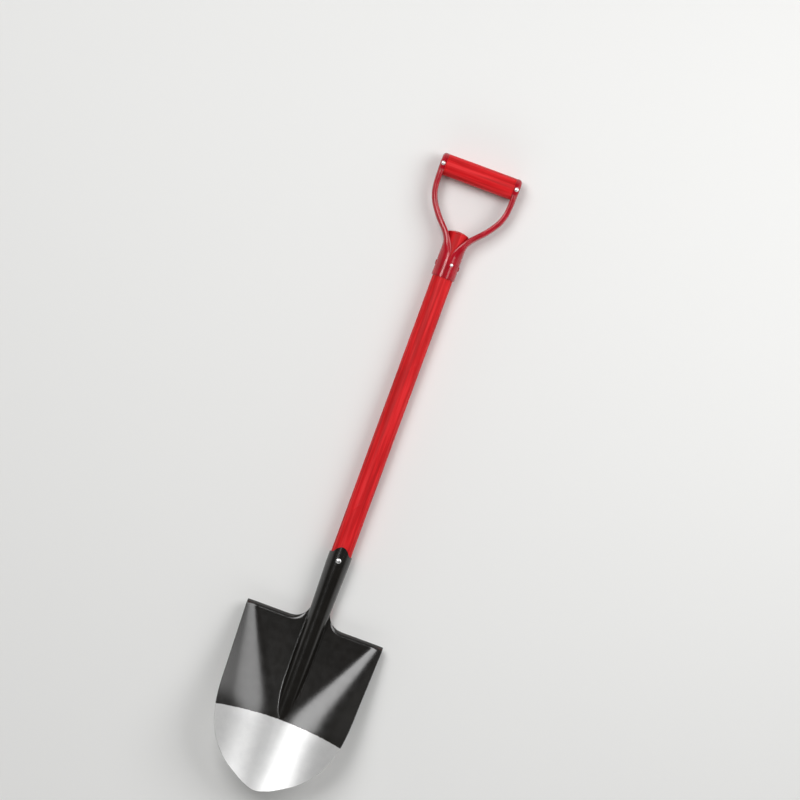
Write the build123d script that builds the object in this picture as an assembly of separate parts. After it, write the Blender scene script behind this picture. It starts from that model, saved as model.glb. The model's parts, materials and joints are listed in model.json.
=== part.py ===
from build123d import *

import math
import os

# Round point digging shovel with a D-grip, lying on its back with the scoop facing up.
#
# The pieces are drawn in the tool frame: the origin is on the shaft's axis, level with the
# blade's tip, +Y runs along the shaft from the tip to the grip, and +Z is the side that the
# scoop faces. place() then puts the whole tool in the row's frame, where the floor is at
# z = 0 and the origin is under the middle of the tool.
#
# All sizes are in millimetres.

# ---- whole tool -------------------------------------------------------------------------
GRIP_Y = 1015.4              # axis of the hand grip
REST_DEPTH = 20.2            # lowest points of the tool, below the shaft's axis

# ---- blade: outline seen from the front -------------------------------------------------
SHEET = 1.8                  # thickness of the pressed steel
PAN_DEPTH = 2.1              # the same sheet measured along Z, where most of the pan slopes
SHOULDER_Y = 274.0           # the two foot treads
SHOULDER_HALF_WIDTH = 112.5
NOSE_END = (8.0, 1.0)        # where the rounded nose turns into the flank
FLANK = [
    (21.0, 6.0),
    (33.5, 12.8),
    (60.0, 31.0),
    (81.2, 54.7),
    (96.7, 85.9),
    (105.2, 125.0),
    (108.7, 187.5),
]
NECK_FILLET = 28.0           # hollow curve from the tread up to the socket
FILLET_CENTRE_X = 43.5

# ---- blade: dished shape ----------------------------------------------------------------
NECK_Y = 290.0
PAN_AT_NECK = -5.0           # height of the pan's floor at the neck
PAN_SLOPE = 0.056            # its rise towards the tip at the neck
PAN_CURVE = 0.00077          # and how fast that rise grows
FLOOR_APEX_Y = 118.0         # the flat floor is a triangle with its apex here
FLOOR_SPREAD = 0.61          # half width gained per millimetre towards the neck
FLOOR_SOFTNESS = 18.0
WALL_SLOPE = 0.58            # slope of the nearly straight side walls
CREASE_AT_TIP = 83.0         # width of the bend between floor and wall at the tip
CREASE_SHRINK = 0.43         # width lost per millimetre of the floor's length
TREAD_WIDTH = 7.0            # strip along the shoulder that is turned back as a foot tread
TREAD_RADIUS = 5.0
TREAD_START_X = 18.0
TREAD_FADE = 20.0

# ---- socket -----------------------------------------------------------------------------
FROG_RADIUS = 16.3           # ridge that carries the socket down into the pan
FROG_START_Y = 95.0
SOCKET_MOUTH_RADIUS = 18.6
SOCKET_FLARE_START = 296.0
SOCKET_FLARE_END = 380.0
RIM_SIDE = (19.5, 387.8)
RIM_TONGUE = [(13.2, 389.3), (7.0, 397.1)]    # half of the round tongue that points up the shaft
RIM_PEAK_Y = 400.2
HEEL_Y = 328.0               # below this the socket is open at the back
SEAM_WIDTH = 1.2

# ---- shaft ------------------------------------------------------------------------------
FILM = 0.45                  # red film shrunk over the wood
SHAFT_RADIUS = 16.65         # over the film
SHAFT_START_Y = 288.0
SHAFT_TOP_Y = 924.0
SHAFT_CROWN = 4.0            # rise of the domed top
FIT_GAP = 0.05

# ---- yoke: two pressed halves, ferrule and arm in one -----------------------------------
YOKE_SHEET = 1.5
FERRULE_START_Y = 848.0
FERRULE_RADIUS = 18.2
SEAM_HALF_GAP = 0.4
# inner edge x, y, lean of the arm from the shaft's axis, depth and half height of the channel
ARM_STATIONS = [
    (0.4, 874.0, 0.0, 18.2, 18.2),
    (1.8, 888.0, 9.0, 17.1, 18.2),
    (5.6, 901.0, 24.0, 14.2, 18.1),
    (11.8, 911.5, 41.0, 10.8, 17.4),
    (19.6, 921.5, 42.0, 9.2, 16.0),
    (34.6, 937.5, 42.0, 9.0, 13.8),
    (47.2, 955.0, 32.0, 9.0, 12.4),
    (53.0, 968.0, 17.0, 9.0, 12.0),
    (55.7, 982.0, 6.0, 9.0, 12.6),
    (56.4, 998.0, 1.0, 9.1, 13.8),
    (56.4, 1008.0, 0.0, 9.1, 14.2),
]
CUP_START_X = 56.3           # cups that hold the ends of the grip
CUP_END_X = 65.6
CUP_RADIUS = 17.6
CUP_CORNER = 5.5

# ---- grip -------------------------------------------------------------------------------
GRIP_RADIUS = 17.4           # over the film
GRIP_TENON_RADIUS = 15.95    # the wood inside the cups

# ---- rivets and the nail ----------------------------------------------------------------
HOLE_GAP = 0.05
SOCKET_RIVET_Y = 378.0
SOCKET_RIVET_SHANK = 2.5
SOCKET_RIVET_HEAD = 4.15
SOCKET_RIVET_HEAD_HEIGHT = 2.2
WASHER_RADIUS = 6.5
WASHER_THICKNESS = 0.8
FERRULE_RIVET_Y = 868.0
FERRULE_RIVET_SHANK = 2.2
FERRULE_RIVET_HEAD = 4.0
FERRULE_RIVET_HEAD_HEIGHT = 1.3
GRIP_RIVET_X = 60.6
GRIP_RIVET_SHANK = 2.2
GRIP_RIVET_HEAD = 3.4
NAIL_LEAN = 19.6             # degrees round the ferrule from its front
NAIL_Y = 870.0
NAIL_SHANK = 1.1
NAIL_LENGTH = 11.0
NAIL_HEAD = 2.6
NAIL_HEAD_HEIGHT = 1.0

CUT_LOW = -60.0              # cutting bodies reach from here
CUT_HIGH = 120.0             # to here


# ---- shape of the dished blade ----------------------------------------------------------
def smooth_step(t):
    t = min(max(t, 0.0), 1.0)
    return t * t * (3.0 - 2.0 * t)


def pan_centre(y):
    run = NECK_Y - y
    return PAN_AT_NECK + PAN_SLOPE * run + 0.5 * PAN_CURVE * max(run, 0.0) ** 2


def wall_rise(x, y):
    run = min(y, SHOULDER_Y) - FLOOR_APEX_Y
    run = 0.5 * (run + math.hypot(run, FLOOR_SOFTNESS))
    crease = CREASE_AT_TIP - CREASE_SHRINK * run
    beyond = max(abs(x) - FLOOR_SPREAD * run, 0.0)
    if beyond > crease:
        return WALL_SLOPE * (beyond - 0.5 * crease)
    return WALL_SLOPE * beyond ** 2 / (2.0 * crease)


def shoulder_distance(x, y):
    beside = FILLET_CENTRE_X - abs(x)
    if beside <= 0.0:
        return SHOULDER_Y - y
    return math.hypot(beside, SHOULDER_Y + NECK_FILLET - y) - NECK_FILLET


def tread_drop(x, y):
    """How far the strip along the shoulder is turned back; it levels off outside the outline."""
    bend_end = TREAD_WIDTH + 1.0
    turned = min(max(TREAD_WIDTH - shoulder_distance(x, y), 0.0), 2.0 * bend_end)
    past_bend = max(turned - bend_end, 0.0)
    drop = (turned ** 2 - 2.0 * past_bend ** 2) / (2.0 * TREAD_RADIUS)
    return drop * smooth_step((abs(x) - TREAD_START_X) / TREAD_FADE)


def scoop_height(x, y):
    return pan_centre(y) + wall_rise(x, y) - tread_drop(x, y)


def spaced(start, end, step):
    count = round((end - start) / step)
    return [start + (end - start) * i / count for i in range(count + 1)]


def blade_outline():
    nose = ThreePointArc((-NOSE_END[0], NOSE_END[1]), (0, 0), NOSE_END)
    corner = (SHOULDER_HALF_WIDTH, SHOULDER_Y)
    flank = Spline([NOSE_END] + FLANK + [corner])
    tread = Line(corner, (FILLET_CENTRE_X, SHOULDER_Y))
    fillet_end = (FILLET_CENTRE_X - NECK_FILLET, SHOULDER_Y + NECK_FILLET)
    bend = NECK_FILLET * (1.0 - math.sqrt(0.5))
    middle = (fillet_end[0] + bend, SHOULDER_Y + bend)
    hollow = ThreePointArc((FILLET_CENTRE_X, SHOULDER_Y), middle, fillet_end)
    half = [flank, tread, hollow]
    other_half = [edge.mirror(Plane.YZ) for edge in half]
    across = Line(fillet_end, (-fillet_end[0], fillet_end[1]))
    return make_face([nose] + half + other_half + [across])


def upright_prism(outline):
    return Pos(0, 0, CUT_LOW) * extrude(outline, CUT_HIGH - CUT_LOW)


def pan_sheet():
    """The dished sheet, with its edges cut to the outline."""
    rows = spaced(-9.0, 252.0, 6.0)[:-1] + spaced(252.0, 309.0, 1.5)
    columns = spaced(-117.0, 117.0, 4.5)
    points = [[(x, y, scoop_height(x, y)) for x in columns] for y in rows]
    face = Face.make_surface_from_array_of_points(points, tol=0.02, min_deg=3, max_deg=3)
    return upright_prism(blade_outline()) & Solid.extrude(face, Vector(0, 0, -PAN_DEPTH))


# ---- helpers ----------------------------------------------------------------------------
def turned(profile):
    """Solid turned about the shaft's axis from (radius, y) points that end on the axis."""
    return revolve(make_face(Polyline(profile, close=True)), axis=Axis.Y)


def rod_along_z(x, y, radius):
    return Pos(x, y, 0) * Cylinder(radius, 2.0 * CUT_HIGH)


def rod_along_x(y, radius):
    return Pos(0, y, 0) * Rot(0, 90, 0) * Cylinder(radius, 2.0 * CUT_HIGH)


def cap_arc(radius, rim, top):
    """Arc from (radius, rim) to (0, top) whose centre is on the axis."""
    rise = top - rim
    ball = (radius ** 2 + rise ** 2) / (2.0 * rise)
    half_angle = 0.5 * math.asin(radius / ball)
    middle = (ball * math.sin(half_angle), top - ball * (1.0 - math.cos(half_angle)))
    return ThreePointArc((radius, rim), middle, (0, top))


def dome(radius, height, sunk):
    """Rivet head along +Z: a cap of the given height over a rim sunk below z = 0."""
    rim = 0.2 * height
    side = Polyline((0, height), (0, -sunk), (radius, -sunk), (radius, rim))
    return revolve(Plane.XZ * make_face([side, cap_arc(radius, rim, height)]), axis=Axis.Z)


# ---- socket and blade -------------------------------------------------------------------
def socket_radius(y):
    """Outer radius of the frog and the socket."""
    t = (y - SOCKET_FLARE_START) / (SOCKET_FLARE_END - SOCKET_FLARE_START)
    return FROG_RADIUS + (SOCKET_MOUTH_RADIUS - FROG_RADIUS) * min(max(t, 0.0), 1.0)


def socket_core(inset, start, end):
    """Solid inside the socket, inset from its outer face."""
    stations = [y for y in (SOCKET_FLARE_START, SOCKET_FLARE_END) if start < y < end]
    side = [(socket_radius(y) - inset, y) for y in [start] + stations + [end]]
    return turned([(0, start)] + side + [(0, end)])


def heel_cut():
    """Everything behind the pan's mid thickness, and behind the socket's open heel."""
    middle = PAN_DEPTH / 2.0
    pan_line = [(y, pan_centre(y) - middle) for y in spaced(FROG_START_Y - 5.0, 284.0, 21.0)]
    heel = [(296.0, -8.0), (312.0, -14.0), (HEEL_Y, -SOCKET_MOUTH_RADIUS - 1.0)]
    top = Spline(pan_line + heel)
    end = (HEEL_Y, CUT_LOW)
    start = (FROG_START_Y - 5.0, CUT_LOW)
    side_view = make_face([top, Line(heel[-1], end), Line(end, start), Line(start, pan_line[0])])
    return extrude(Plane.YZ * side_view, SHOULDER_HALF_WIDTH, both=True)


def rim_outline():
    left_half = [(-x, y) for x, y in RIM_TONGUE]
    tongue = Spline(left_half + [(0, RIM_PEAK_Y)] + RIM_TONGUE[::-1])
    side = RIM_SIDE[0]
    above = RIM_PEAK_Y + 20.0
    around = Polyline(
        RIM_TONGUE[0], RIM_SIDE, (side, above), (-side, above), (-side, RIM_SIDE[1]), left_half[0],
    )
    return make_face([tongue, around])


def blade():
    hollow = socket_core(SHEET, FROG_START_Y - 10.0, 430.0)
    tube = socket_core(0.0, FROG_START_Y, 410.0) - hollow
    tube -= heel_cut()
    tube -= upright_prism(rim_outline())
    tube -= Pos(0, 360.0, CUT_LOW / 2.0) * Box(SEAM_WIDTH, 100.0, -CUT_LOW)
    steel = (pan_sheet() - hollow) + tube
    return steel - rod_along_z(0, SOCKET_RIVET_Y, SOCKET_RIVET_SHANK + HOLE_GAP)


def socket_rivet():
    radius = socket_radius(SOCKET_RIVET_Y)
    head = Pos(0, 0, radius) * dome(SOCKET_RIVET_HEAD, SOCKET_RIVET_HEAD_HEIGHT, 0.6)
    head -= Pos(0, 0, radius + SOCKET_RIVET_HEAD_HEIGHT + 3.4) * Sphere(4.0)
    head -= Rot(90, 0, 0) * Cylinder(radius + FIT_GAP, 40.0)
    tail_start = radius + WASHER_THICKNESS
    tail = Rot(180, 0, 0) * Pos(0, 0, tail_start) * dome(4.0, REST_DEPTH - tail_start, 0.0)
    length = 2.0 * radius + WASHER_THICKNESS
    shank = Pos(0, 0, -WASHER_THICKNESS / 2.0) * Cylinder(SOCKET_RIVET_SHANK, length)
    return Pos(0, SOCKET_RIVET_Y, 0) * (head + shank + tail)


def socket_rivet_washer():
    radius = socket_radius(SOCKET_RIVET_Y)
    ring = Cylinder(WASHER_RADIUS, WASHER_THICKNESS)
    ring -= Cylinder(SOCKET_RIVET_SHANK + HOLE_GAP, WASHER_THICKNESS)
    return Pos(0, SOCKET_RIVET_Y, -radius - WASHER_THICKNESS / 2.0) * ring


# ---- shaft ------------------------------------------------------------------------------
def shaft_body(inset):
    """The stick with its tapered foot and domed top, inset from the film's outer face."""
    taper_inset = SHEET + FIT_GAP + inset
    radius = SHAFT_RADIUS - inset
    foot = socket_radius(SHAFT_START_Y) - taper_inset
    taper_end = SOCKET_FLARE_END
    shoulder = SHAFT_TOP_Y - SHAFT_CROWN
    crown_height = SHAFT_CROWN - inset
    outline = [
        Polyline((0, SHAFT_START_Y), (foot, SHAFT_START_Y), (foot, SOCKET_FLARE_START)),
        Polyline((foot, SOCKET_FLARE_START), (radius, taper_end), (radius, shoulder)),
        cap_arc(radius, shoulder, shoulder + crown_height),
        Line((0, shoulder + crown_height), (0, SHAFT_START_Y)),
    ]
    return revolve(make_face(outline), axis=Axis.Y)


def nail_axis():
    """Placement on the shaft's axis with +Z along the nail, outwards."""
    return Pos(0, NAIL_Y, 0) * Rot(0, NAIL_LEAN, 0)


def drill_shaft(piece):
    piece -= rod_along_z(0, SOCKET_RIVET_Y, SOCKET_RIVET_SHANK + HOLE_GAP)
    piece -= rod_along_x(FERRULE_RIVET_Y, FERRULE_RIVET_SHANK + HOLE_GAP)
    return piece - nail(HOLE_GAP)


def shaft_core():
    return drill_shaft(shaft_body(FILM))


def shaft_sleeve():
    return drill_shaft(shaft_body(0.0) - shaft_body(FILM))


# ---- yoke -------------------------------------------------------------------------------
def channel_section(x, y, lean, depth, half_height):
    """C-shaped section of the arm, open towards the middle of the tool."""
    outer = EllipticalCenterArc((0, 0), depth, half_height, start_angle=-90, arc_size=180)
    inner = EllipticalCenterArc(
        (0, 0), depth - YOKE_SHEET, half_height - YOKE_SHEET, start_angle=-90, arc_size=180
    )
    face = make_face([outer, inner, Line(outer @ 0, inner @ 0), Line(outer @ 1, inner @ 1)])
    a = math.radians(lean)
    across = Vector(math.cos(a), -math.sin(a), 0)
    along = Vector(math.sin(a), math.cos(a), 0)
    return Plane(origin=(x, y, 0), x_dir=across, z_dir=along) * face


def cup():
    corner_x = CUP_END_X - CUP_CORNER
    flat = CUP_RADIUS - CUP_CORNER
    bend = CUP_CORNER * math.sqrt(0.5)
    outline = [
        Polyline((CUP_START_X, 0), (CUP_START_X, CUP_RADIUS), (corner_x, CUP_RADIUS)),
        ThreePointArc((corner_x, CUP_RADIUS), (corner_x + bend, flat + bend), (CUP_END_X, flat)),
        Polyline((CUP_END_X, flat), (CUP_END_X, 0), (CUP_START_X, 0)),
    ]
    return Pos(0, GRIP_Y, 0) * revolve(make_face(outline), axis=Axis.X)


def across_grip(radius, start, end):
    """Rod along the grip's axis from x = start to x = end."""
    rod = Rot(0, 90, 0) * Cylinder(radius, end - start)
    return Pos((start + end) / 2.0, GRIP_Y, 0) * rod


def yoke_half():
    """The half on the +X side."""
    ferrule_end = ARM_STATIONS[0][1]
    length = ferrule_end - FERRULE_START_Y
    ring = Cylinder(FERRULE_RADIUS, length) - Cylinder(FERRULE_RADIUS - YOKE_SHEET, length)
    ring -= Pos(-FERRULE_RADIUS, 0, 0) * Box(2.0 * FERRULE_RADIUS, CUT_HIGH, CUT_HIGH)
    ferrule = Pos(SEAM_HALF_GAP, ferrule_end - length / 2.0, 0) * Rot(90, 0, 0) * ring
    arm = loft([channel_section(*station) for station in ARM_STATIONS])
    half = ferrule + arm + cup()
    half -= across_grip(GRIP_TENON_RADIUS + FIT_GAP, 0.0, CUP_END_X - YOKE_SHEET)
    half -= across_grip(GRIP_RADIUS + 0.3, 0.0, CUP_START_X)
    half -= rod_along_x(FERRULE_RIVET_Y, FERRULE_RIVET_SHANK + HOLE_GAP)
    half -= rod_along_z(GRIP_RIVET_X, GRIP_Y, GRIP_RIVET_SHANK + HOLE_GAP)
    return half


def yoke_right():
    return yoke_half() - nail(HOLE_GAP)


def yoke_left():
    return yoke_half().mirror(Plane.YZ)


def ferrule_rivet():
    radius = FERRULE_RADIUS + SEAM_HALF_GAP
    head = Pos(0, 0, radius) * dome(FERRULE_RIVET_HEAD, FERRULE_RIVET_HEAD_HEIGHT, 0.6)
    head -= Rot(90, 0, 0) * Cylinder(radius + FIT_GAP, 40.0)
    shank = Cylinder(FERRULE_RIVET_SHANK, 2.0 * radius + 0.4)
    rivet = head + Rot(180, 0, 0) * head + shank
    return Pos(0, FERRULE_RIVET_Y, 0) * Rot(0, 90, 0) * rivet


def nail(gap):
    """Round-headed nail, made gap larger all round when it is used as a drill."""
    radius = FERRULE_RADIUS + SEAM_HALF_GAP
    head = Pos(0, 0, radius) * dome(NAIL_HEAD, NAIL_HEAD_HEIGHT, 0.3)
    shank = Pos(0, 0, radius + 0.3 - NAIL_LENGTH / 2.0) * Cylinder(NAIL_SHANK + gap, NAIL_LENGTH)
    if gap:
        return nail_axis() * shank
    head -= Rot(90, 0, 0) * Cylinder(radius + FIT_GAP, 40.0)
    return nail_axis() * (head + shank)


# ---- grip -------------------------------------------------------------------------------
def grip_half_length():
    return CUP_END_X - YOKE_SHEET - FIT_GAP


def drill_grip(piece):
    for side in (-1, 1):
        piece -= rod_along_z(side * GRIP_RIVET_X, GRIP_Y, GRIP_RIVET_SHANK + HOLE_GAP)
    return piece


def grip_core():
    visible = CUP_START_X - 0.3
    ends = grip_half_length()
    wood = across_grip(GRIP_RADIUS - FILM, -visible, visible)
    wood += across_grip(GRIP_TENON_RADIUS, -ends, ends)
    return drill_grip(wood)


def grip_sleeve():
    visible = CUP_START_X - 0.3
    outside = across_grip(GRIP_RADIUS, -visible, visible)
    return outside - across_grip(GRIP_RADIUS - FILM, -visible, visible)


def grip_rivet(side):
    height = REST_DEPTH - CUP_RADIUS
    head = Pos(0, 0, CUP_RADIUS) * dome(GRIP_RIVET_HEAD, height, 0.5)
    head -= Rot(0, 90, 0) * Cylinder(CUP_RADIUS + FIT_GAP, 40.0)
    shank = Cylinder(GRIP_RIVET_SHANK, 2.0 * CUP_RADIUS + 0.4)
    return Pos(side * GRIP_RIVET_X, GRIP_Y, 0) * (head + Rot(180, 0, 0) * head + shank)


# ---- the whole tool ---------------------------------------------------------------------
def place(piece):
    """Moves a piece from the tool frame to the row's frame."""
    overall_length = GRIP_Y + CUP_RADIUS
    return Pos(0, -overall_length / 2.0, REST_DEPTH) * piece


def main():
    pieces = {
        "blade": blade(),
        "socket_rivet": socket_rivet(),
        "socket_rivet_washer": socket_rivet_washer(),
        "shaft_core": shaft_core(),
        "shaft_sleeve": shaft_sleeve(),
        "yoke_left": yoke_left(),
        "yoke_right": yoke_right(),
        "ferrule_rivet": ferrule_rivet(),
        "ferrule_nail": nail(0.0),
        "grip_core": grip_core(),
        "grip_sleeve": grip_sleeve(),
        "grip_rivet_left": grip_rivet(-1),
        "grip_rivet_right": grip_rivet(1),
    }
    os.makedirs("parts", exist_ok=True)
    for name, piece in pieces.items():
        export_step(place(piece), f"parts/{name}.step")


main()
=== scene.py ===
import json
import math

import bpy
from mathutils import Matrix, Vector, noise as soft_noise


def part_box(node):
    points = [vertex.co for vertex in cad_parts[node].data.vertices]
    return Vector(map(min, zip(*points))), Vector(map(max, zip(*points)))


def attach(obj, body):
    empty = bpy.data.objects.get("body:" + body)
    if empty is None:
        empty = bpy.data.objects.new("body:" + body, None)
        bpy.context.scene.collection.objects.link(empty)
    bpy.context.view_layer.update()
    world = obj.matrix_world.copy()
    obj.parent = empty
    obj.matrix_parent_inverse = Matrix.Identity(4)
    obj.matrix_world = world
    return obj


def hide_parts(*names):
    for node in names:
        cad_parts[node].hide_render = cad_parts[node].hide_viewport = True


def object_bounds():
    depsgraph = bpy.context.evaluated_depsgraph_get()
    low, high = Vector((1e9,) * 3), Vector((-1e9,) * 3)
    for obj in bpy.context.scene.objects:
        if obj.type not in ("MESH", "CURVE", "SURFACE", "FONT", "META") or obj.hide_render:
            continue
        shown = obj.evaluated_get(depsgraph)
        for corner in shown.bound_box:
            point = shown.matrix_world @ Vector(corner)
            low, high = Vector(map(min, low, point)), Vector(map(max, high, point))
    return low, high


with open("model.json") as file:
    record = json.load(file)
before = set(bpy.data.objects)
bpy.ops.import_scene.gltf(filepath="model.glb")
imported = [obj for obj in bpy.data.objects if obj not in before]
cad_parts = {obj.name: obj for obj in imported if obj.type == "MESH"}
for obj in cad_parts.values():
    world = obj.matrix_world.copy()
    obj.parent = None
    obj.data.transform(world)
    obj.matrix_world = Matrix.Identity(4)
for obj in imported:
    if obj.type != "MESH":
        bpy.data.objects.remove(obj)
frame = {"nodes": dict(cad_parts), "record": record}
CAD_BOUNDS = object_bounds()

# The tool frame: y runs along the shaft from the blade's tip, z = 0 on its axis, millimetres.
TIP_Y = CAD_BOUNDS[0][1]
AXIS_Z = 0.5 * (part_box("shaft_sleeve")[0].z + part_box("shaft_sleeve")[1].z)


def place(x, y, z):
    """Millimetres in the tool frame to metres in the row's frame."""
    return Vector((x / 1000.0, TIP_Y + y / 1000.0, AXIS_Z + z / 1000.0))


# ---- numbers and curves -----------------------------------------------------------------
def smooth_step(t):
    t = min(max(t, 0.0), 1.0)
    return t * t * (3.0 - 2.0 * t)


def divided(start, end, count):
    """The ends of count equal steps from start to end."""
    return [start + (end - start) * i / count for i in range(1, count + 1)]


def spaced(start, end, step):
    """From start to end in equal steps of about the given length."""
    return [start] + divided(start, end, max(round((end - start) / step), 1))


def full_turn(count):
    """Angles all round a circle."""
    return [2.0 * math.pi * i / count for i in range(count)]


def curve_through(points, per_span):
    """Points on a smooth curve through the given ones, which may have any number of values."""
    reach = [0.0]
    for a, b in zip(points, points[1:]):
        reach.append(reach[-1] + math.dist(a[:2], b[:2]))
    last = len(points) - 1
    slopes = []
    for i in range(last + 1):
        before = max(i - 1, 0)
        after = min(i + 1, last)
        span = reach[after] - reach[before]
        slopes.append([(b - a) / span for a, b in zip(points[before], points[after])])
    curve = []
    for i in range(last):
        span = reach[i + 1] - reach[i]
        for step in range(per_span):
            t = step / per_span
            curve.append(tuple(
                (2 * t ** 3 - 3 * t ** 2 + 1) * p + (t ** 3 - 2 * t ** 2 + t) * span * m
                + (3 * t ** 2 - 2 * t ** 3) * q + (t ** 3 - t ** 2) * span * n
                for p, q, m, n in zip(points[i], points[i + 1], slopes[i], slopes[i + 1])
            ))
    return curve + [tuple(points[-1])]


# ---- meshes -----------------------------------------------------------------------------
def number_rows(rows, start=0):
    """Vertex numbers for rows of points."""
    numbered = []
    for row in rows:
        numbered.append(list(range(start, start + len(row))))
        start += len(row)
    return numbered


def joined(rows):
    """The points of all rows in one list."""
    return [point for row in rows for point in row]


def grid_faces(rows, closed=False):
    """Quads between rows of vertex numbers; closed joins each row's end to its start."""
    faces = []
    for low, high in zip(rows, rows[1:]):
        count = len(low)
        for i in range(count if closed else count - 1):
            j = (i + 1) % count
            faces.append((low[i], low[j], high[j], high[i]))
    return faces


def fan_faces(ring, centre):
    """Triangles from a closed ring of vertex numbers to the one in its centre."""
    return [(a, b, centre) for a, b in zip(ring, ring[1:] + ring[:1])]


def turned_over(faces):
    return [face[::-1] for face in faces]


def new_piece(name, points, faces, material, slot, *replaced):
    """A piece from tool-frame points, riding on the tool and standing for CAD nodes."""
    mesh = bpy.data.meshes.new(name)
    mesh.from_pydata([place(*point) for point in points], [], faces)
    mesh.shade_smooth()
    mesh.materials.append(MATERIALS[material])
    piece = bpy.data.objects.new(name, mesh)
    bpy.context.scene.collection.objects.link(piece)
    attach(piece, "root")
    if replaced:
        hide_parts(*replaced)
    return piece


SHARPEST_SMOOTH = math.radians(50.0)    # edges that turn by more than this are rounded


def round_edges(piece, width):
    bevel = piece.modifiers.new("edges", "BEVEL")
    bevel.width = width / 1000.0
    bevel.segments = 2
    bevel.limit_method = "ANGLE"
    bevel.angle_limit = SHARPEST_SMOOTH
    bevel.harden_normals = True


def thicken(piece, thickness, edge):
    """Gives a sheet its thickness, behind its outward faces, and eases its edges."""
    solid = piece.modifiers.new("thickness", "SOLIDIFY")
    solid.thickness = thickness / 1000.0
    solid.offset = -1.0
    round_edges(piece, edge)


# ---- blade: outline ---------------------------------------------------------------------
NOSE_END = (8.0, 1.0)        # the tip is a round nose as far as here
NOSE_RADIUS = (NOSE_END[0] ** 2 + NOSE_END[1] ** 2) / (2.0 * NOSE_END[1])
FLANK = [
    (21.0, 6.0),
    (33.5, 12.8),
    (60.0, 31.0),
    (81.2, 54.7),
    (96.7, 85.9),
    (105.2, 125.0),
    (108.7, 187.5),
]
SHOULDER_Y = 274.0
SHOULDER_HALF_WIDTH = 112.5
NECK_FILLET = 28.0
FILLET_CENTRE_X = 43.5
FLANK_STEPS = 16             # from each point of the flank to the next
SHOULDER = (SHOULDER_HALF_WIDTH, SHOULDER_Y)
FLANK_CURVE = curve_through([NOSE_END] + FLANK + [SHOULDER], FLANK_STEPS)


def half_width(y):
    """From the blade's middle to its edge."""
    if y > SHOULDER_Y:
        below = SHOULDER_Y + NECK_FILLET - y
        return FILLET_CENTRE_X - math.sqrt(NECK_FILLET ** 2 - below ** 2)
    if y < NOSE_END[1]:
        return math.sqrt(y * (2.0 * NOSE_RADIUS - y))
    for (x0, y0), (x1, y1) in zip(FLANK_CURVE, FLANK_CURVE[1:]):
        if y <= y1:
            return x0 + (x1 - x0) * (y - y0) / (y1 - y0)
    return SHOULDER_HALF_WIDTH


# ---- blade: dish and treads -------------------------------------------------------------
NECK_Y = 290.0
PAN_AT_NECK = -5.0           # height of the pan's middle, which rises from here to the tip
PAN_SLOPE = 0.056
PAN_CURVE = 0.00077
FLOOR_APEX_Y = 118.0         # the flat floor between the walls spreads from here to the treads
FLOOR_SPREAD = 0.61
FLOOR_SOFTNESS = 18.0
WALL_SLOPE = 0.58
CREASE_AT_TIP = 83.0         # width of the soft crease from floor to wall
CREASE_SHRINK = 0.43
TREAD_WIDTH = 7.0
TREAD_RADIUS = 5.0
TREAD_START_X = 18.0         # the treads fade in from here outwards
TREAD_FADE = 20.0


def pan_centre(y):
    run = NECK_Y - y
    return PAN_AT_NECK + PAN_SLOPE * run + 0.5 * PAN_CURVE * max(run, 0.0) ** 2


def wall_rise(x, y):
    run = min(y, SHOULDER_Y) - FLOOR_APEX_Y
    run = 0.5 * (run + math.hypot(run, FLOOR_SOFTNESS))
    crease = CREASE_AT_TIP - CREASE_SHRINK * run
    beyond = max(abs(x) - FLOOR_SPREAD * run, 0.0)
    if beyond > crease:
        return WALL_SLOPE * (beyond - 0.5 * crease)
    return WALL_SLOPE * beyond ** 2 / (2.0 * crease)


def shoulder_distance(x, y):
    """How far a point of the pan lies below the shoulders and the fillets beside the neck."""
    beside = FILLET_CENTRE_X - abs(x)
    if beside <= 0.0:
        return SHOULDER_Y - y
    return math.hypot(beside, SHOULDER_Y + NECK_FILLET - y) - NECK_FILLET


def tread_drop(x, y):
    turned = max(TREAD_WIDTH - shoulder_distance(x, y), 0.0)
    fade = smooth_step((abs(x) - TREAD_START_X) / TREAD_FADE)
    return turned ** 2 / (2.0 * TREAD_RADIUS) * fade


def scoop_height(x, y):
    return pan_centre(y) + wall_rise(x, y) - tread_drop(x, y)


# ---- blade: frog and socket -------------------------------------------------------------
FROG_RADIUS = 16.3
FROG_BEND = 5.0              # hollow bend between the frog and the pan
NECK_BEND = 1.0              # it is much tighter towards the neck
BEND_TIGHTENS_Y = (150.0, 205.0)
BEND_ROOM = 0.6              # the bend takes at most this share of the width beside the ridge
LEAST_BEND = 0.05
SOCKET_MOUTH_RADIUS = 18.6
SOCKET_FLARE = (296.0, 380.0)
FLARE_SOFTNESS = 16.0
HEEL_START_Y = 295.4         # the sheet's edge leaves the neck and goes round the socket
HEEL_END_Y = 328.0
SEAM_ANGLE = math.radians(178.0)    # from the socket's front to the open seam behind it
RIM_PEAK_Y = 400.2
RIM_TONGUE = 13.2            # half width of the round tongue in the socket's rim
RIM_TONGUE_ROUND = 16.0
RIM_SIDE_SLOPE = 0.24


def socket_radius(y):
    start, end = SOCKET_FLARE
    run = 0.5 * (y - start + math.hypot(y - start, FLARE_SOFTNESS))
    share = min(run / (end - start), 1.0)
    return FROG_RADIUS + (SOCKET_MOUTH_RADIUS - FROG_RADIUS) * share


def rim_height(x):
    across = min(abs(x), RIM_TONGUE)
    return RIM_PEAK_Y - across ** 2 / RIM_TONGUE_ROUND - RIM_SIDE_SLOPE * (abs(x) - across)


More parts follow.
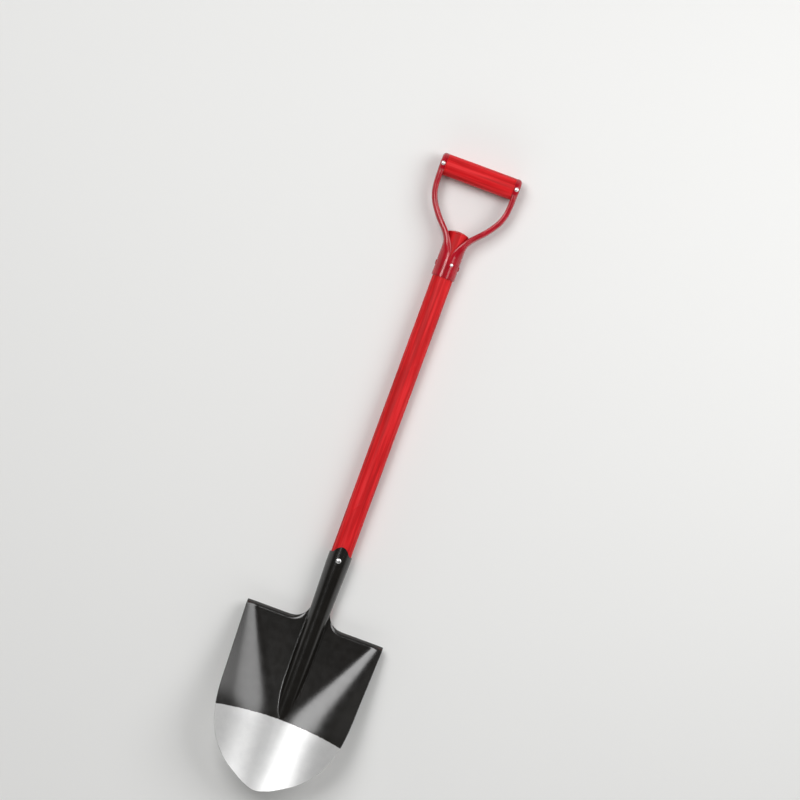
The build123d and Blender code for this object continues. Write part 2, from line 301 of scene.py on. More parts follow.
def frog_bend(y, inner):
    """Radius and centre of the hollow bend between frog and pan, and its angle at the ridge.

    The centre's height and its place across depend on each other, and settle in three rounds.
    """
    ridge = socket_radius(y)
    start, end = BEND_TIGHTENS_Y
    bend = FROG_BEND + (NECK_BEND - FROG_BEND) * smooth_step((y - start) / (end - start))
    radius = max(min(bend, BEND_ROOM * (inner - ridge)), LEAST_BEND)
    centre_x = 0.0
    for _ in range(3):
        centre_z = scoop_height(centre_x, y) + radius
        centre_x = math.sqrt(max((ridge + radius) ** 2 - centre_z ** 2, 0.0))
    if centre_x == 0.0:
        return radius, 0.0, centre_z, 0.0
    return radius, centre_x, centre_z, math.atan2(centre_x, centre_z)


def front_height(x, y, radius, centre_x, centre_z, angle):
    """Height of the front where the frog has only begun to rise from the pan."""
    ridge = socket_radius(y)
    if x < ridge * math.sin(angle):
        return math.sqrt(ridge ** 2 - x ** 2)
    if x < centre_x:
        return centre_z - math.sqrt(radius ** 2 - (centre_x - x) ** 2)
    return scoop_height(x, y)


# ---- blade: rows and columns of the sheet's mesh ----------------------------------------
SHEET = 1.8
SHEET_EDGE = 0.35
RIDGE_COLUMNS = 16           # from the frog's crest to the bend at its foot
BEND_COLUMNS = 6
FLOOR_COLUMNS = 14           # from there to the part of the sheet that runs up to the neck
WALL_COLUMNS = 28
LEAST_RIDGE_ANGLE = 0.2
NARROW_HALF_WIDTH = 20.0     # the columns close up where the nose is narrower
EDGE_ALLOWANCE = 0.6         # the walls' back edge stands out by this much
EDGE_ALLOWANCE_END_Y = 300.0
EDGE_ALLOWANCE_FADE = 20.0
TIP_ALLOWANCE = 0.95         # and the tip's by this much
TIP_ALLOWANCE_FADE = 30.0

FIRST_ROW_Y = 0.02
NOSE_ROWS = 10               # they lie closer together towards the tip
NOSE_ROWS_END_Y = 12.0
TIP_STEP = 3.0
FROG_ROWS_START_Y = 96.0
FROG_STEP = 2.5
TREAD_ROWS_START_Y = 256.0
TREAD_STEP = 0.9
NECK_ROWS_END_Y = HEEL_START_Y - 0.4
SOCKET_ROWS_START_Y = HEEL_START_Y + 0.6
SOCKET_STEP = 2.0
RIM_ROWS_START_Y = 372.0     # from here on the rows take the shape of the rim
RIM_ROWS = 10


def ridge_columns(y, radius, centre_x, centre_z, angle):
    """The frog's round ridge and the hollow bend at its foot."""
    ridge = socket_radius(y)
    row = [(0.0, ridge)]
    for a in divided(0.0, angle, RIDGE_COLUMNS):
        row.append((ridge * math.sin(a), ridge * math.cos(a)))
    for a in divided(angle, 0.0, BEND_COLUMNS):
        row.append((centre_x - radius * math.sin(a), centre_z - radius * math.cos(a)))
    return row


def low_columns(y, inner, bend):
    """The same columns where the frog hardly stands out of the pan."""
    radius = bend[0]
    ridge = socket_radius(y)
    scale = math.sin(LEAST_RIDGE_ANGLE) * min(1.0, inner / NARROW_HALF_WIDTH)
    foot = ridge * scale
    across = [0.0] + divided(0.0, foot, RIDGE_COLUMNS)
    across += divided(foot, (ridge + radius) * scale, BEND_COLUMNS)
    return [(x, front_height(x, y, *bend)) for x in across]


def pan_row(y):
    """Right half of the sheet's front at y, from the middle outwards, as (x, z)."""
    allowance = EDGE_ALLOWANCE * smooth_step(y / EDGE_ALLOWANCE_FADE)
    allowance *= smooth_step((EDGE_ALLOWANCE_END_Y - y) / EDGE_ALLOWANCE_FADE)
    width = half_width(y) - allowance
    inner = width if y > SHOULDER_Y else width * FILLET_CENTRE_X / SHOULDER_HALF_WIDTH
    bend = frog_bend(y, inner)
    if bend[-1] > LEAST_RIDGE_ANGLE:
        row = ridge_columns(y, *bend)
    else:
        row = low_columns(y, inner, bend)
    across = divided(row[-1][0], inner, FLOOR_COLUMNS)
    if y <= SHOULDER_Y:
        across += divided(inner, width, WALL_COLUMNS)
    return row + [(x, scoop_height(x, y)) for x in across]


def both_sides(half):
    return [(-x, y, z) for x, y, z in half[:0:-1]] + half


def pan_points(y):
    """The whole front of the sheet at y; the tip is set back so that its back edge ends at 0."""
    setback = TIP_ALLOWANCE * (1.0 - smooth_step(y / TIP_ALLOWANCE_FADE))
    return both_sides([(x, y + setback, z) for x, z in pan_row(y)])


def socket_points(y, rise):
    """The whole socket at y; rise runs from 0 to 1 over the stretch below its rim."""
    neck = frog_bend(HEEL_START_Y, half_width(HEEL_START_Y))[-1]
    t = min((y - HEEL_START_Y) / (HEEL_END_Y - HEEL_START_Y), 1.0)
    edge = neck + (SEAM_ANGLE - neck) * math.sin(0.5 * math.pi * t)
    radius = socket_radius(y)
    turns = [0.0] + divided(0.0, neck, RIDGE_COLUMNS)
    turns += divided(neck, edge, BEND_COLUMNS + FLOOR_COLUMNS)
    half = []
    for a in turns:
        x = radius * math.sin(a)
        half.append((x, y + rise * (rim_height(x) - y), radius * math.cos(a)))
    return both_sides(half)


def pan_rows():
    nose = [NOSE_ROWS_END_Y * (i / NOSE_ROWS) ** 2 for i in range(1, NOSE_ROWS)]
    rows_y = [FIRST_ROW_Y] + nose + spaced(NOSE_ROWS_END_Y, FROG_ROWS_START_Y, TIP_STEP)
    rows_y += spaced(FROG_ROWS_START_Y, TREAD_ROWS_START_Y, FROG_STEP)[1:]
    rows_y += spaced(TREAD_ROWS_START_Y, SHOULDER_Y, TREAD_STEP)[1:]
    return [pan_points(y) for y in rows_y]


def neck_rows():
    return [pan_points(y) for y in spaced(SHOULDER_Y, NECK_ROWS_END_Y, TREAD_STEP)[1:]]


def socket_rows():
    rows_y = spaced(SOCKET_ROWS_START_Y, RIM_ROWS_START_Y, SOCKET_STEP)
    rows = [socket_points(y, 0.0) for y in rows_y]
    return rows + [socket_points(RIM_ROWS_START_Y, rise) for rise in divided(0.0, 1.0, RIM_ROWS)]


def make_blade():
    """One sheet: the neck goes on from the middle columns of the pan's last row."""
    pan = pan_rows()
    rows = pan + neck_rows() + socket_rows()
    numbers = number_rows(rows)
    shoulder = numbers[len(pan) - 1][WALL_COLUMNS:-WALL_COLUMNS]
    faces = grid_faces(numbers[:len(pan)]) + grid_faces([shoulder] + numbers[len(pan):])
    blade = new_piece("blade_sheet", joined(rows), faces, "blade_steel", "blade_steel", "blade")
    thicken(blade, SHEET, SHEET_EDGE)


# ---- film on the stick and on the grip --------------------------------------------------
SHAFT_RADIUS = 16.65
SHAFT_START_Y = 288.0
SHAFT_TOP_Y = 924.0
SHAFT_CROWN = 4.0
CROWN_START_Y = SHAFT_TOP_Y - SHAFT_CROWN
CROWN_BALL = (SHAFT_RADIUS ** 2 + SHAFT_CROWN ** 2) / (2.0 * SHAFT_CROWN)
SOCKET_GAP = 0.05            # between the film's foot and the socket
GRIP_Y = 1015.4
GRIP_RADIUS = 17.4
GRIP_HALF_LENGTH = 56.0

MOST_SINK = 0.4              # the film is only a little thicker
MEAN_SINK = 0.16
FOLD_SINK = 0.22             # long shallow folds
FOLD_LENGTH = 95.0
FOLD_CROWDING = 2.6
FINE_SINK = 0.07             # and fine ones between them
FINE_LENGTH = 38.0
FINE_CROWDING = 7.0
FINE_SHIFT = 9.0
GRIP_SINK = 0.1
GRIP_SINK_SHARE = 0.6        # the grip's folds are shallower
GRIP_NOISE_SHIFT = 400.0     # and aren't those of the stick

# angle from the front, place along the stick, slant, half width and depth, which is negative
# because the film stands up there
CREASES = [
    (-0.18, 466.0, 19.0, 1.7, -0.45),
    (0.3, 700.0, 24.0, 1.7, -0.35),
]
CREASE_HALF_ANGLE = 0.4
# angle from the front, start, end and depth
LONG_FOLDS = [
    (0.14, 398.0, 462.0, 0.3),
    (-0.13, 560.0, 835.0, 0.3),
    (0.5, 470.0, 610.0, 0.3),
]
FOLD_HALF_ANGLE = 0.11
FOLD_FADE = 12.0

FILM_COLUMNS = 96
FILM_STEP = 2.5
CREASED = [(450.0, 482.0), (680.0, 720.0)]    # rows lie closer together over the creases
CREASED_STEP = 0.8
CROWN_FADE = 20.0
CROWN_ROWS = 7
GRIP_STEP = 1.5


def noise_round(around, crowding, along):
    """Soft noise that meets itself after a full turn."""
    x = crowding * math.cos(around)
    y = crowding * math.sin(around)
    return soft_noise.noise(Vector((x, y, along)))


def film_ripple(around, along):
    """How far the film sinks between its wrinkles."""
    folds = noise_round(around, FOLD_CROWDING, along / FOLD_LENGTH)
    fine = noise_round(around, FINE_CROWDING, along / FINE_LENGTH + FINE_SHIFT)
    return MEAN_SINK + FOLD_SINK * folds + FINE_SINK * fine


def slanting_crease(around, along, centre, place_along, slant, half_width_along, depth):
    """A short crease that crosses the stick; its depth is negative where the film stands up."""
    off = (along - place_along) - slant * (around - centre)
    reach = math.exp(-((around - centre) / CREASE_HALF_ANGLE) ** 2)
    return depth * math.exp(-(off / half_width_along) ** 2) * reach


def long_fold(around, along, centre, start, end, depth):
    """A narrow hollow along the stick."""
    inside = 0.5 * (end - start) - abs(along - 0.5 * (start + end))
    across = math.exp(-((around - centre) / FOLD_HALF_ANGLE) ** 2)
    return depth * across * smooth_step(inside / FOLD_FADE)


def film_wrinkles(around, along):
    """The wrinkles that stand out on the front of the stick."""
    sink = 0.0
    for crease in CREASES:
        sink += slanting_crease(around, along, *crease)
    for fold in LONG_FOLDS:
        sink += long_fold(around, along, *fold)
    return sink


def stick_rows_y():
    rows = set()
    start = SHAFT_START_Y
    for creased_start, creased_end in CREASED:
        rows.update(spaced(start, creased_start, FILM_STEP))
        rows.update(spaced(creased_start, creased_end, CREASED_STEP))
        start = creased_end
    rows.update(spaced(start, CROWN_START_Y, FILM_STEP))
    return sorted(rows)


def stick_row(y):
    """The film round the stick, which tapers inside the socket."""
    foot = socket_radius(SHAFT_START_Y) - SHEET - SOCKET_GAP
    t = min((y - SHAFT_START_Y) / (SOCKET_FLARE[1] - SHAFT_START_Y), 1.0)
    radius = foot + (SHAFT_RADIUS - foot) * t
    row = []
    for a in full_turn(FILM_COLUMNS):
        from_front = math.atan2(math.sin(a), math.cos(a))
        sink = max(film_ripple(a, y), 0.0) + film_wrinkles(from_front, y)
        r = radius - min(sink, MOST_SINK) * smooth_step((CROWN_START_Y - y) / CROWN_FADE)
        row.append((r * math.sin(a), y, r * math.cos(a)))
    return row


def crown_row(radius):
    y = SHAFT_TOP_Y - CROWN_BALL + math.sqrt(CROWN_BALL ** 2 - radius ** 2)
    return [(radius * math.sin(a), y, radius * math.cos(a)) for a in full_turn(FILM_COLUMNS)]


def make_shaft_sleeve():
    rows = [stick_row(y) for y in stick_rows_y()]
    rows += [crown_row(radius) for radius in divided(SHAFT_RADIUS, 0.0, CROWN_ROWS)[:-1]]
    numbers = number_rows(rows)
    points = joined(rows) + [(0.0, SHAFT_TOP_Y, 0.0)]
    faces = grid_faces(numbers, closed=True) + fan_faces(numbers[-1], len(points) - 1)
    new_piece("shaft_film", points, faces, "red_film", "red_film", "shaft_sleeve")


def grip_row(x):
    row = []
    for a in full_turn(FILM_COLUMNS):
        ripple = film_ripple(a, x + GRIP_NOISE_SHIFT) - MEAN_SINK
        r = GRIP_RADIUS - max(GRIP_SINK + GRIP_SINK_SHARE * ripple, 0.0)
        row.append((x, GRIP_Y + r * math.sin(a), r * math.cos(a)))
    return row


def make_grip_sleeve():
    rows = [grip_row(x) for x in spaced(-GRIP_HALF_LENGTH, GRIP_HALF_LENGTH, GRIP_STEP)]
    faces = grid_faces(number_rows(rows), closed=True)
    new_piece("grip_film", joined(rows), faces, "grip_film", "red_film", "grip_sleeve")


# ---- yoke -------------------------------------------------------------------------------
YOKE_SHEET = 1.5
YOKE_EDGE = 0.4
# inner edge x, y, lean of the arm from the shaft's axis, depth and half height of the channel
ARM_STATIONS = [
    (0.4, 848.0, 0.0, 18.2, 18.2),
    (0.4, 860.0, 0.0, 18.2, 18.2),
    (0.4, 874.0, 0.0, 18.2, 18.2),
    (1.8, 888.0, 9.0, 17.1, 18.2),
    (5.6, 901.0, 24.0, 14.2, 18.1),
    (11.8, 911.5, 41.0, 10.8, 17.4),
    (19.6, 921.5, 42.0, 9.2, 16.0),
    (34.6, 937.5, 42.0, 9.0, 13.8),
    (47.2, 955.0, 32.0, 9.0, 12.4),
    (53.0, 968.0, 17.0, 9.0, 12.0),
    (55.7, 982.0, 6.0, 9.0, 12.6),
    (56.4, 998.0, 1.0, 9.1, 13.8),
    (56.4, 1008.0, 0.0, 9.1, 14.2),
]
ARM_ROWS = 8                 # from each station to the next
ROLL_START_Y = 884.0         # the arm's lips start to roll inwards here
ROLL_LENGTH = 26.0
LIP_SHARE = 0.32             # width of the rolled lip, as a share of the channel's depth
LEAST_LIP = 0.6
LIP_DROP = 2.4
LEAST_LIP_DROP = 0.02
LIP_TURN = math.radians(75.0)
LIP_COLUMNS = 6
SIDE_COLUMNS = 24            # a quarter of the channel, from the lip to the middle of its back
SQUARENESS = 1.3             # 0 would leave the arm's channel round
CUP_START_X = 56.3
CUP_END_X = 65.6
CUP_RADIUS = 17.6
CUP_CORNER = 5.5
CUP_STEP = 1.3
CUP_CORNER_ROWS = 8
CUP_END_ROWS = 4
CUP_COLUMNS = 64


def channel_points(x, y, lean, depth, half_height, side):
    """The half ring of the ferrule, which turns into the arm's squarer channel with rolled lips."""
    rolled = smooth_step((y - ROLL_START_Y) / ROLL_LENGTH)
    lip = max(LIP_SHARE * depth * rolled, LEAST_LIP)
    drop = max(LIP_DROP * rolled, LEAST_LIP_DROP)
    power = 2.0 / (2.0 + SQUARENESS * rolled)
    section = []
    for i in range(LIP_COLUMNS):
        turn = LIP_TURN * (1.0 - i / LIP_COLUMNS)
        inwards = 1.0 - math.sin(turn) / math.sin(LIP_TURN)
        section.append((lip * inwards, half_height - drop * (1.0 - math.cos(turn))))
    for i in range(SIDE_COLUMNS + 1):
        turn = 0.5 * math.pi * (1.0 - i / SIDE_COLUMNS)
        across = lip + (depth - lip) * math.cos(turn) ** power
        section.append((across, half_height * math.sin(turn) ** power))
    section += [(across, -height) for across, height in section[-2::-1]]
    a = math.radians(lean)
    return [(side * (x + across * math.cos(a)), y - across * math.sin(a), height)
            for across, height in section]


def cup_profile():
    """(radius, x) from the cup's rim round its corner to the middle of its flat end."""
    corner_x = CUP_END_X - CUP_CORNER
    flat = CUP_RADIUS - CUP_CORNER
    profile = [(CUP_RADIUS, x) for x in spaced(CUP_START_X, corner_x, CUP_STEP)]
    for a in divided(0.0, 0.5 * math.pi, CUP_CORNER_ROWS):
        profile.append((flat + CUP_CORNER * math.cos(a), corner_x + CUP_CORNER * math.sin(a)))
    return profile + [(radius, CUP_END_X) for radius in divided(flat, 0.0, CUP_END_ROWS)[:-1]]


def cup_ring(radius, x, side):
    return [(side * x, GRIP_Y + radius * math.sin(a), radius * math.cos(a))
            for a in full_turn(CUP_COLUMNS)]


def make_yoke(name, side):
    channel = [channel_points(*station, side) for station in curve_through(ARM_STATIONS, ARM_ROWS)]
    cup = [cup_ring(radius, x, side) for radius, x in cup_profile()]
    cup_numbers = number_rows(cup, len(joined(channel)))
    points = joined(channel + cup) + [(side * CUP_END_X, GRIP_Y, 0.0)]
    channel_faces = grid_faces(number_rows(channel))
    cup_faces = grid_faces(cup_numbers, closed=True) + fan_faces(cup_numbers[-1], len(points) - 1)
    if side > 0:
        faces = channel_faces + turned_over(cup_faces)
    else:
        faces = turned_over(channel_faces) + cup_faces
    yoke = new_piece(name + "_pressing", points, faces, "yoke_enamel", "yoke_enamel", name)
    thicken(yoke, YOKE_SHEET, YOKE_EDGE)


# ---- rivets and nail --------------------------------------------------------------------
LOWEST_Z = -20.2             # the tool rests on its rivets' tails
DOME_ROWS = 10
DOME_POWER = 0.9             # a little flatter on top than a ball
HEAD_EDGE = 0.25             # height of a head's upright edge, as a share of the head's
HEAD_ROOT = 0.5              # a head reaches this far into the sheet
RIVET_COLUMNS = 40
RIVET_EDGE = 0.15
FRONT_TO_BACK = (0.0, 0.0, 1.0)
SIDE_TO_SIDE = (1.0, 0.0, 0.0)

SOCKET_RIVET_Y = 378.0
SOCKET_RIVET_HEAD = (4.15, 2.0)    # heads and tails are radius and height
SOCKET_RIVET_TAIL_RADIUS = 4.0
SOCKET_RIVET_SHANK = 2.5
WASHER = 0.8
GRIP_RIVET_X = 60.6
GRIP_RIVET_HEAD_RADIUS = 3.4
GRIP_RIVET_SHANK = 2.2
FERRULE_OUTSIDE = 18.6
FERRULE_RIVET_Y = 868.0
FERRULE_RIVET_HEAD = (4.0, 1.2)
FERRULE_RIVET_SHANK = 2.2
NAIL_Y = 870.0
NAIL_LEAN = math.radians(19.6)
NAIL_HEAD = (2.6, 0.9)
NAIL_SHANK = [(1.1, 18.1), (1.1, 8.5), (0.3, 7.3)]    # radius and height, down to the point


def head_profile(radius, height, base):
    """(radius, height above the shaft's axis) from the top of a domed head to its underside."""
    profile = []
    for turn in divided(0.5 * math.pi, 0.0, DOME_ROWS):
        dome = HEAD_EDGE + (1.0 - HEAD_EDGE) * math.sin(turn)
        profile.append((radius * math.cos(turn) ** DOME_POWER, base + height * dome))
    return profile + [(radius, base - HEAD_ROOT)]


def through_rivet(head, shank, tail):
    """Profile of a rivet; its head and its tail are each (radius, height, base)."""
    shank_top = head[2] - HEAD_ROOT
    shank_bottom = HEAD_ROOT - tail[2]
    lower = [(radius, -height) for radius, height in head_profile(*tail)[::-1]]
    return head_profile(*head) + [(shank, shank_top), (shank, shank_bottom)] + lower


def turn_rivet(name, node, profile, axis_point, along, material="rivet_steel"):
    """Turns the profile, from top to bottom, about a line through axis_point."""
    up = Vector(along).normalized()
    side = up.cross(Vector((0.0, 1.0, 0.0))).normalized()
    other = up.cross(side)
    rows = []
    for radius, height in profile:
        centre = Vector(axis_point) + up * height
        rows.append([tuple(centre + radius * (math.cos(a) * side + math.sin(a) * other))
                     for a in full_turn(RIVET_COLUMNS)])
    numbers = number_rows(rows)
    faces = turned_over(grid_faces(numbers, closed=True) + [numbers[-1]]) + [numbers[0]]
    rivet = new_piece(name, joined(rows), faces, material, material, node)
    round_edges(rivet, RIVET_EDGE)


def make_socket_rivet():
    front = socket_radius(SOCKET_RIVET_Y)
    back = front + WASHER
    tail = (SOCKET_RIVET_TAIL_RADIUS, -LOWEST_Z - back, back)
    profile = through_rivet((*SOCKET_RIVET_HEAD, front), SOCKET_RIVET_SHANK, tail)
    axis_point = (0.0, SOCKET_RIVET_Y, 0.0)
    turn_rivet("socket_rivet_turned", "socket_rivet", profile, axis_point, FRONT_TO_BACK)


def make_grip_rivet(name, side):
    head = (GRIP_RIVET_HEAD_RADIUS, -LOWEST_Z - CUP_RADIUS, CUP_RADIUS)
    profile = through_rivet(head, GRIP_RIVET_SHANK, head)
    axis_point = (side * GRIP_RIVET_X, GRIP_Y, 0.0)
    turn_rivet(name + "_turned", name, profile, axis_point, FRONT_TO_BACK)


def make_ferrule_rivet():
    """It was painted together with the yoke."""
    head = (*FERRULE_RIVET_HEAD, FERRULE_OUTSIDE)
    profile = through_rivet(head, FERRULE_RIVET_SHANK, head)
    axis_point = (0.0, FERRULE_RIVET_Y, 0.0)
    turn_rivet("ferrule_rivet_turned", "ferrule_rivet", profile, axis_point, SIDE_TO_SIDE,
               "yoke_enamel")


def make_ferrule_nail():
    profile = head_profile(*NAIL_HEAD, FERRULE_OUTSIDE) + NAIL_SHANK
    along = (math.sin(NAIL_LEAN), 0.0, math.cos(NAIL_LEAN))
    turn_rivet("ferrule_nail_turned", "ferrule_nail", profile, (0.0, NAIL_Y, 0.0), along)


# ---- material nodes ---------------------------------------------------------------------
def new_material(name):
    material = bpy.data.materials.new(name)
    material.use_nodes = True
    return material, material.node_tree, material.node_tree.nodes["Principled BSDF"]


def link(tree, out, into):
    tree.links.new(out, into)


def coords(tree):
    return tree.nodes.new("ShaderNodeTexCoord").outputs["Object"]


def stretched(tree, vector, scale):
    mapping = tree.nodes.new("ShaderNodeMapping")
    mapping.inputs["Scale"].default_value = scale
    link(tree, vector, mapping.inputs["Vector"])
    return mapping.outputs["Vector"]


def noise(tree, vector, scale, detail=3.0, roughness=0.5):
    node = tree.nodes.new("ShaderNodeTexNoise")
    node.inputs["Scale"].default_value = scale
    node.inputs["Detail"].default_value = detail
    node.inputs["Roughness"].default_value = roughness
    link(tree, vector, node.inputs["Vector"])
    return node.outputs["Fac"]


def shades(tree, value, colours, start=0.3, end=0.7):
    """Runs through the colours, evenly spread from start to end."""
    node = tree.nodes.new("ShaderNodeValToRGB")
    elements = node.color_ramp.elements
    while len(elements) < len(colours):
        elements.new(0.5)
    positions = [start] + divided(start, end, len(colours) - 1)
    for element, position, colour in zip(elements, positions, colours):
        element.position = position
        element.color = (*colour, 1.0)
    link(tree, value, node.inputs["Fac"])
    return node.outputs["Color"]


def spread(tree, value, low, high, start=0.3, end=0.7):
    """Maps start..end to low..high."""
    node = tree.nodes.new("ShaderNodeMapRange")
    node.inputs["From Min"].default_value = start
    node.inputs["From Max"].default_value = end
    node.inputs["To Min"].default_value = low
    node.inputs["To Max"].default_value = high
    link(tree, value, node.inputs["Value"])
    return node.outputs["Result"]


def maths(tree, operation, a, b):
    node = tree.nodes.new("ShaderNodeMath")
    node.operation = operation
    for socket, value in zip(node.inputs, (a, b)):
        if isinstance(value, float):
            socket.default_value = value
        else:
            link(tree, value, socket)
    return node.outputs["Value"]


def mixed(tree, factor, a, b, kind="FLOAT"):
    """a where factor is 0 and b where it is 1."""
    node = tree.nodes.new("ShaderNodeMix")
    node.data_type = kind
    sockets = [s for s in node.inputs if s.type == ("VALUE" if kind == "FLOAT" else "RGBA")]
    first, second = sockets[-2:]
    link(tree, factor, node.inputs[0])
    link(tree, a, first)
    link(tree, b, second)
    return [s for s in node.outputs if s.type == first.type][0]


def bump(tree, height, distance, strength=1.0):
    node = tree.nodes.new("ShaderNodeBump")
    node.inputs["Strength"].default_value = strength
    node.inputs["Distance"].default_value = distance
    link(tree, height, node.inputs["Height"])
    return node.outputs["Normal"]


# ---- materials --------------------------------------------------------------------------
# Colours go from dark to light. A noise's scale is about its number of waves in a metre.
BARE_STEEL = [(0.555, 0.555, 0.555), (0.61, 0.61, 0.605)]
BLACK_PAINT = [(0.0052, 0.0045, 0.0036), (0.0085, 0.0072, 0.0058)]
# The red film's streaks are partly its own uneven tone and partly painted highlight: their contrast
# is raised so the lighter streaks stand in for highlight bands from the softboxes.
RED_FILM_TONE_AND_PAINTED_SHEEN = [(0.44, 0.004, 0.006), (0.58, 0.006, 0.009), (0.71, 0.016, 0.02)]
RED_ENAMEL = [(0.34, 0.0035, 0.012), (0.44, 0.006, 0.018)]
BRIGHT_STEEL = [(0.70, 0.70, 0.70), (0.86, 0.86, 0.86)]
ASH_WOOD = [(0.42, 0.26, 0.13), (0.66, 0.47, 0.28)]
FLOOR_COLOUR = (0.80, 0.80, 0.79, 1.0)

STEEL_METALLIC = 0.45        # the ground finish scatters the rest
STREAK_STRETCH = 0.05        # noise slowed down by this along one axis makes streaks

PAINT_LINE = TIP_Y + 0.115   # metres: the tip is ground bare below this line
PAINT_LINE_SAG = 0.65        # the line is lower by this times x squared, in metres
PAINT_LINE_RAGGED = 0.0005
PAINT_LINE_SOFT = 0.0003


def painted(tree, vector):
    """0 on the bare tip and 1 on the paint."""
    axes = tree.nodes.new("ShaderNodeSeparateXYZ")
    link(tree, vector, axes.inputs["Vector"])
    x = axes.outputs["X"]
    sag = maths(tree, "MULTIPLY", maths(tree, "MULTIPLY", x, x), PAINT_LINE_SAG)
    ragged = spread(tree, noise(tree, vector, 260.0), -PAINT_LINE_RAGGED, PAINT_LINE_RAGGED)
    height = maths(tree, "ADD", maths(tree, "ADD", axes.outputs["Y"], sag), ragged)
    return spread(tree, height, 0.0, 1.0, PAINT_LINE - PAINT_LINE_SOFT, PAINT_LINE + PAINT_LINE_SOFT)


def blade_material():
    """Black paint over steel that is ground bare at the tip."""
    material, tree, shader = new_material("blade_steel")
    vector = coords(tree)
    paint = painted(tree, vector)

    steel_colour = shades(tree, noise(tree, vector, 75.0, 6.0, 0.7), BARE_STEEL)
    paint_colour = shades(tree, noise(tree, vector, 30.0, 4.0), BLACK_PAINT)
    colour = mixed(tree, paint, steel_colour, paint_colour, "RGBA")
    link(tree, colour, shader.inputs["Base Color"])
    metallic = spread(tree, paint, STEEL_METALLIC, 0.0, start=0.0, end=1.0)
    link(tree, metallic, shader.inputs["Metallic"])

    paint_rough = spread(tree, noise(tree, vector, 90.0, 3.0), 0.19, 0.23)
    brushed = noise(tree, stretched(tree, vector, (1.0, 0.25, 1.0)), 420.0, 4.0)
    steel_rough = spread(tree, brushed, 0.32, 0.38)
    link(tree, mixed(tree, paint, steel_rough, paint_rough), shader.inputs["Roughness"])
    shader.inputs["Specular IOR Level"].default_value = 0.8

    grain = maths(tree, "MULTIPLY", noise(tree, vector, 900.0, 2.0), 0.06)
    relief = maths(tree, "ADD", paint, grain)
    link(tree, bump(tree, relief, 0.00012), shader.inputs["Normal"])
    return material


def film_material(name, streaks_along):
    """Red plastic film whose lighter colour streaks are partly its own uneven tone and partly
    painted highlight; streaks_along is the number of the axis that its streaks follow.
    """
    material, tree, shader = new_material(name)
    scale = [1.0, 1.0, 1.0]
    scale[streaks_along] = STREAK_STRETCH
    vector = stretched(tree, coords(tree), scale)
    # Base colour streaks: partly the film's uneven tone, partly painted highlight.
    colour = shades(tree, noise(tree, vector, 210.0, 4.0), RED_FILM_TONE_AND_PAINTED_SHEEN, 0.36, 0.64)
    link(tree, colour, shader.inputs["Base Color"])
    roughness = spread(tree, noise(tree, vector, 150.0, 3.0), 0.42, 0.55)
    link(tree, roughness, shader.inputs["Roughness"])
    shader.inputs["Specular IOR Level"].default_value = 0.2
    link(tree, bump(tree, noise(tree, vector, 320.0, 4.0), 0.0003, 0.5), shader.inputs["Normal"])
    return material


def enamel_material():
    """Crimson enamel on the yoke, with the faint waves of sprayed paint."""
    material, tree, shader = new_material("yoke_enamel")
    vector = coords(tree)
    link(tree, shades(tree, noise(tree, vector, 60.0), RED_ENAMEL), shader.inputs["Base Color"])
    link(tree, spread(tree, noise(tree, vector, 140.0), 0.14, 0.22), shader.inputs["Roughness"])
    shader.inputs["Specular IOR Level"].default_value = 0.5
    link(tree, bump(tree, noise(tree, vector, 110.0, 2.0), 0.0006, 0.35), shader.inputs["Normal"])
    return material


def rivet_material():
    material, tree, shader = new_material("rivet_steel")
    vector = coords(tree)
    shader.inputs["Metallic"].default_value = 1.0
    link(tree, shades(tree, noise(tree, vector, 400.0), BRIGHT_STEEL), shader.inputs["Base Color"])
    link(tree, spread(tree, noise(tree, vector, 700.0), 0.3, 0.42), shader.inputs["Roughness"])
    return material


def wood_material():
    material, tree, shader = new_material("wood")
    vector = stretched(tree, coords(tree), (1.0, STREAK_STRETCH, 1.0))
    link(tree, shades(tree, noise(tree, vector, 300.0, 5.0), ASH_WOOD), shader.inputs["Base Color"])
    link(tree, spread(tree, noise(tree, vector, 200.0), 0.6, 0.8), shader.inputs["Roughness"])
    return material


def floor_material():
    material, _, shader = new_material("floor")
    shader.inputs["Base Color"].default_value = FLOOR_COLOUR
    shader.inputs["Roughness"].default_value = 0.9
    shader.inputs["Specular IOR Level"].default_value = 0.1
    return material


MATERIALS = {
    "blade_steel": blade_material(),
    "red_film": film_material("red_film", 1),
    "grip_film": film_material("grip_film", 0),
    "yoke_enamel": enamel_material(),
    "rivet_steel": rivet_material(),
    "wood": wood_material(),
    "floor": floor_material(),
}


def dress_cad_nodes():
    """The CAD nodes that no piece replaces are seen as they are."""
    slots = {part["node"]: part["material_slot"] for part in frame["record"]["subparts"]}
    for name, piece in frame["nodes"].items():
        piece.data.materials.clear()
        piece.data.materials.append(MATERIALS[slots[name]])


# ---- floor, light and camera, in metres -------------------------------------------------
FLOOR_SIZE = 14.0
FLOOR_Z = -0.0006
HORIZON_LIGHT = 0.9
CEILING_LIGHT = 0.055
HORIZON_FADE = (0.06, 0.5)   # the horizon's light fades out between these heights
LIT_PLACE = (0.0, -0.2, 0.0)    # the softboxes face it unless told otherwise
CAMERA_HEIGHT = 6.0
CAMERA_OVER = (3.3, 646.0)   # the place under the camera, in the tool frame
CAMERA_TURN = math.radians(20.2)    # the tool leans by this much in the picture
PICTURE_WIDTH = 1.2476
SENSOR_WIDTH = 36.0
FARTHEST_SEEN = 50.0


def make_floor():
    bpy.ops.mesh.primitive_plane_add(size=FLOOR_SIZE, location=(0, 0, FLOOR_Z))
    floor = bpy.context.object
    floor.name = "floor"
    floor.data.materials.append(MATERIALS["floor"])


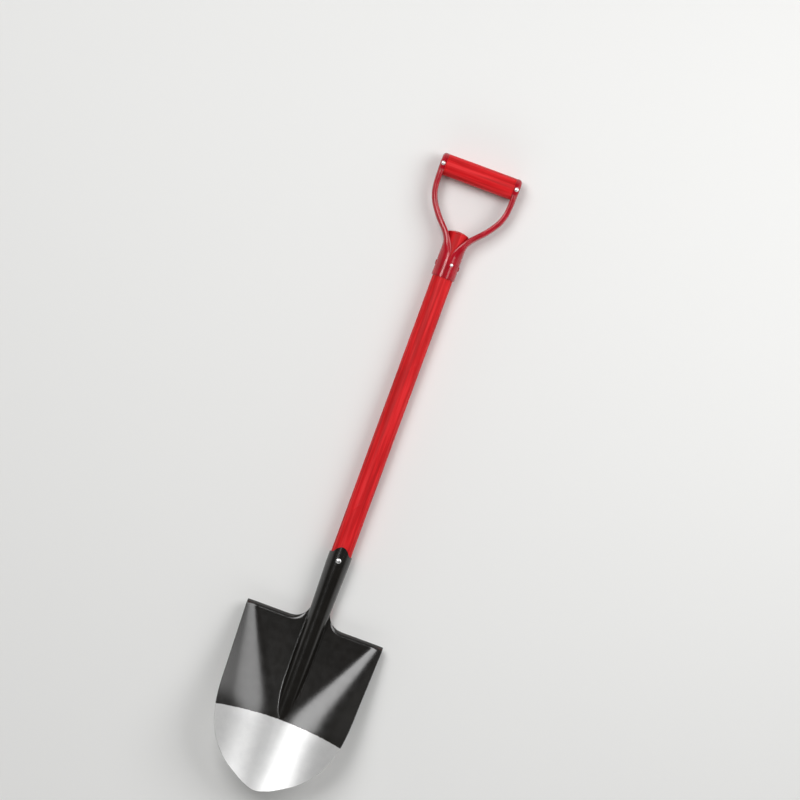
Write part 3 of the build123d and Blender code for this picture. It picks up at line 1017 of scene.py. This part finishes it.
def make_world():
    """A dark ceiling over a light horizon."""
    world = bpy.data.worlds.new("studio")
    bpy.context.scene.world = world
    world.use_nodes = True
    tree = world.node_tree
    background = tree.nodes["Background"]
    background.inputs["Color"].default_value = (1.0, 0.99, 0.97, 1.0)
    axes = tree.nodes.new("ShaderNodeSeparateXYZ")
    link(tree, tree.nodes.new("ShaderNodeTexCoord").outputs["Generated"], axes.inputs["Vector"])
    strength = spread(tree, axes.outputs["Z"], HORIZON_LIGHT, CEILING_LIGHT, *HORIZON_FADE)
    link(tree, strength, background.inputs["Strength"])


def softbox(name, location, size, radiance, target=LIT_PLACE):
    light = bpy.data.lights.new(name, "AREA")
    light.shape = "RECTANGLE"
    light.size, light.size_y = size
    light.energy = radiance * math.pi * size[0] * size[1]
    lamp = bpy.data.objects.new(name, light)
    bpy.context.scene.collection.objects.link(lamp)
    lamp.location = location
    aim = Vector(target) - Vector(location)
    lamp.rotation_euler = aim.to_track_quat("-Z", "Y").to_euler()


def make_softboxes():
    """One on each side for the walls of the scoop, one for the ferrule, and a low fill."""
    softbox("left_box", (-1.15, 1.1, 2.75), (1.7, 1.6), 6.2)
    softbox("right_box", (1.28, 1.05, 1.68), (1.4, 1.6), 4.0)
    softbox("handle_box", (-1.6, 0.4, 4.8), (0.8, 0.6), 9.0, (0.0, 0.4, 0.0))
    softbox("low_fill", (0.3, -2.6, 1.3), (3.2, 1.0), 1.6, (0.0, -0.6, 0.0))


def make_camera():
    lens = bpy.data.cameras.new("camera")
    camera = bpy.data.objects.new("camera", lens)
    bpy.context.scene.collection.objects.link(camera)
    bpy.context.scene.camera = camera
    lens.sensor_width = SENSOR_WIDTH
    lens.lens = SENSOR_WIDTH * CAMERA_HEIGHT / PICTURE_WIDTH
    lens.clip_end = FARTHEST_SEEN
    camera.location = place(*CAMERA_OVER, 0.0) + Vector((0, 0, CAMERA_HEIGHT))
    camera.rotation_euler = (0.0, 0.0, CAMERA_TURN)


dress_cad_nodes()
make_blade()
make_shaft_sleeve()
make_grip_sleeve()
make_yoke("yoke_left", -1)
make_yoke("yoke_right", 1)
make_socket_rivet()
make_grip_rivet("grip_rivet_left", -1)
make_grip_rivet("grip_rivet_right", 1)
make_ferrule_rivet()
make_ferrule_nail()
make_floor()
make_world()
make_softboxes()
make_camera()
bpy.context.scene.view_settings.view_transform = "Standard"
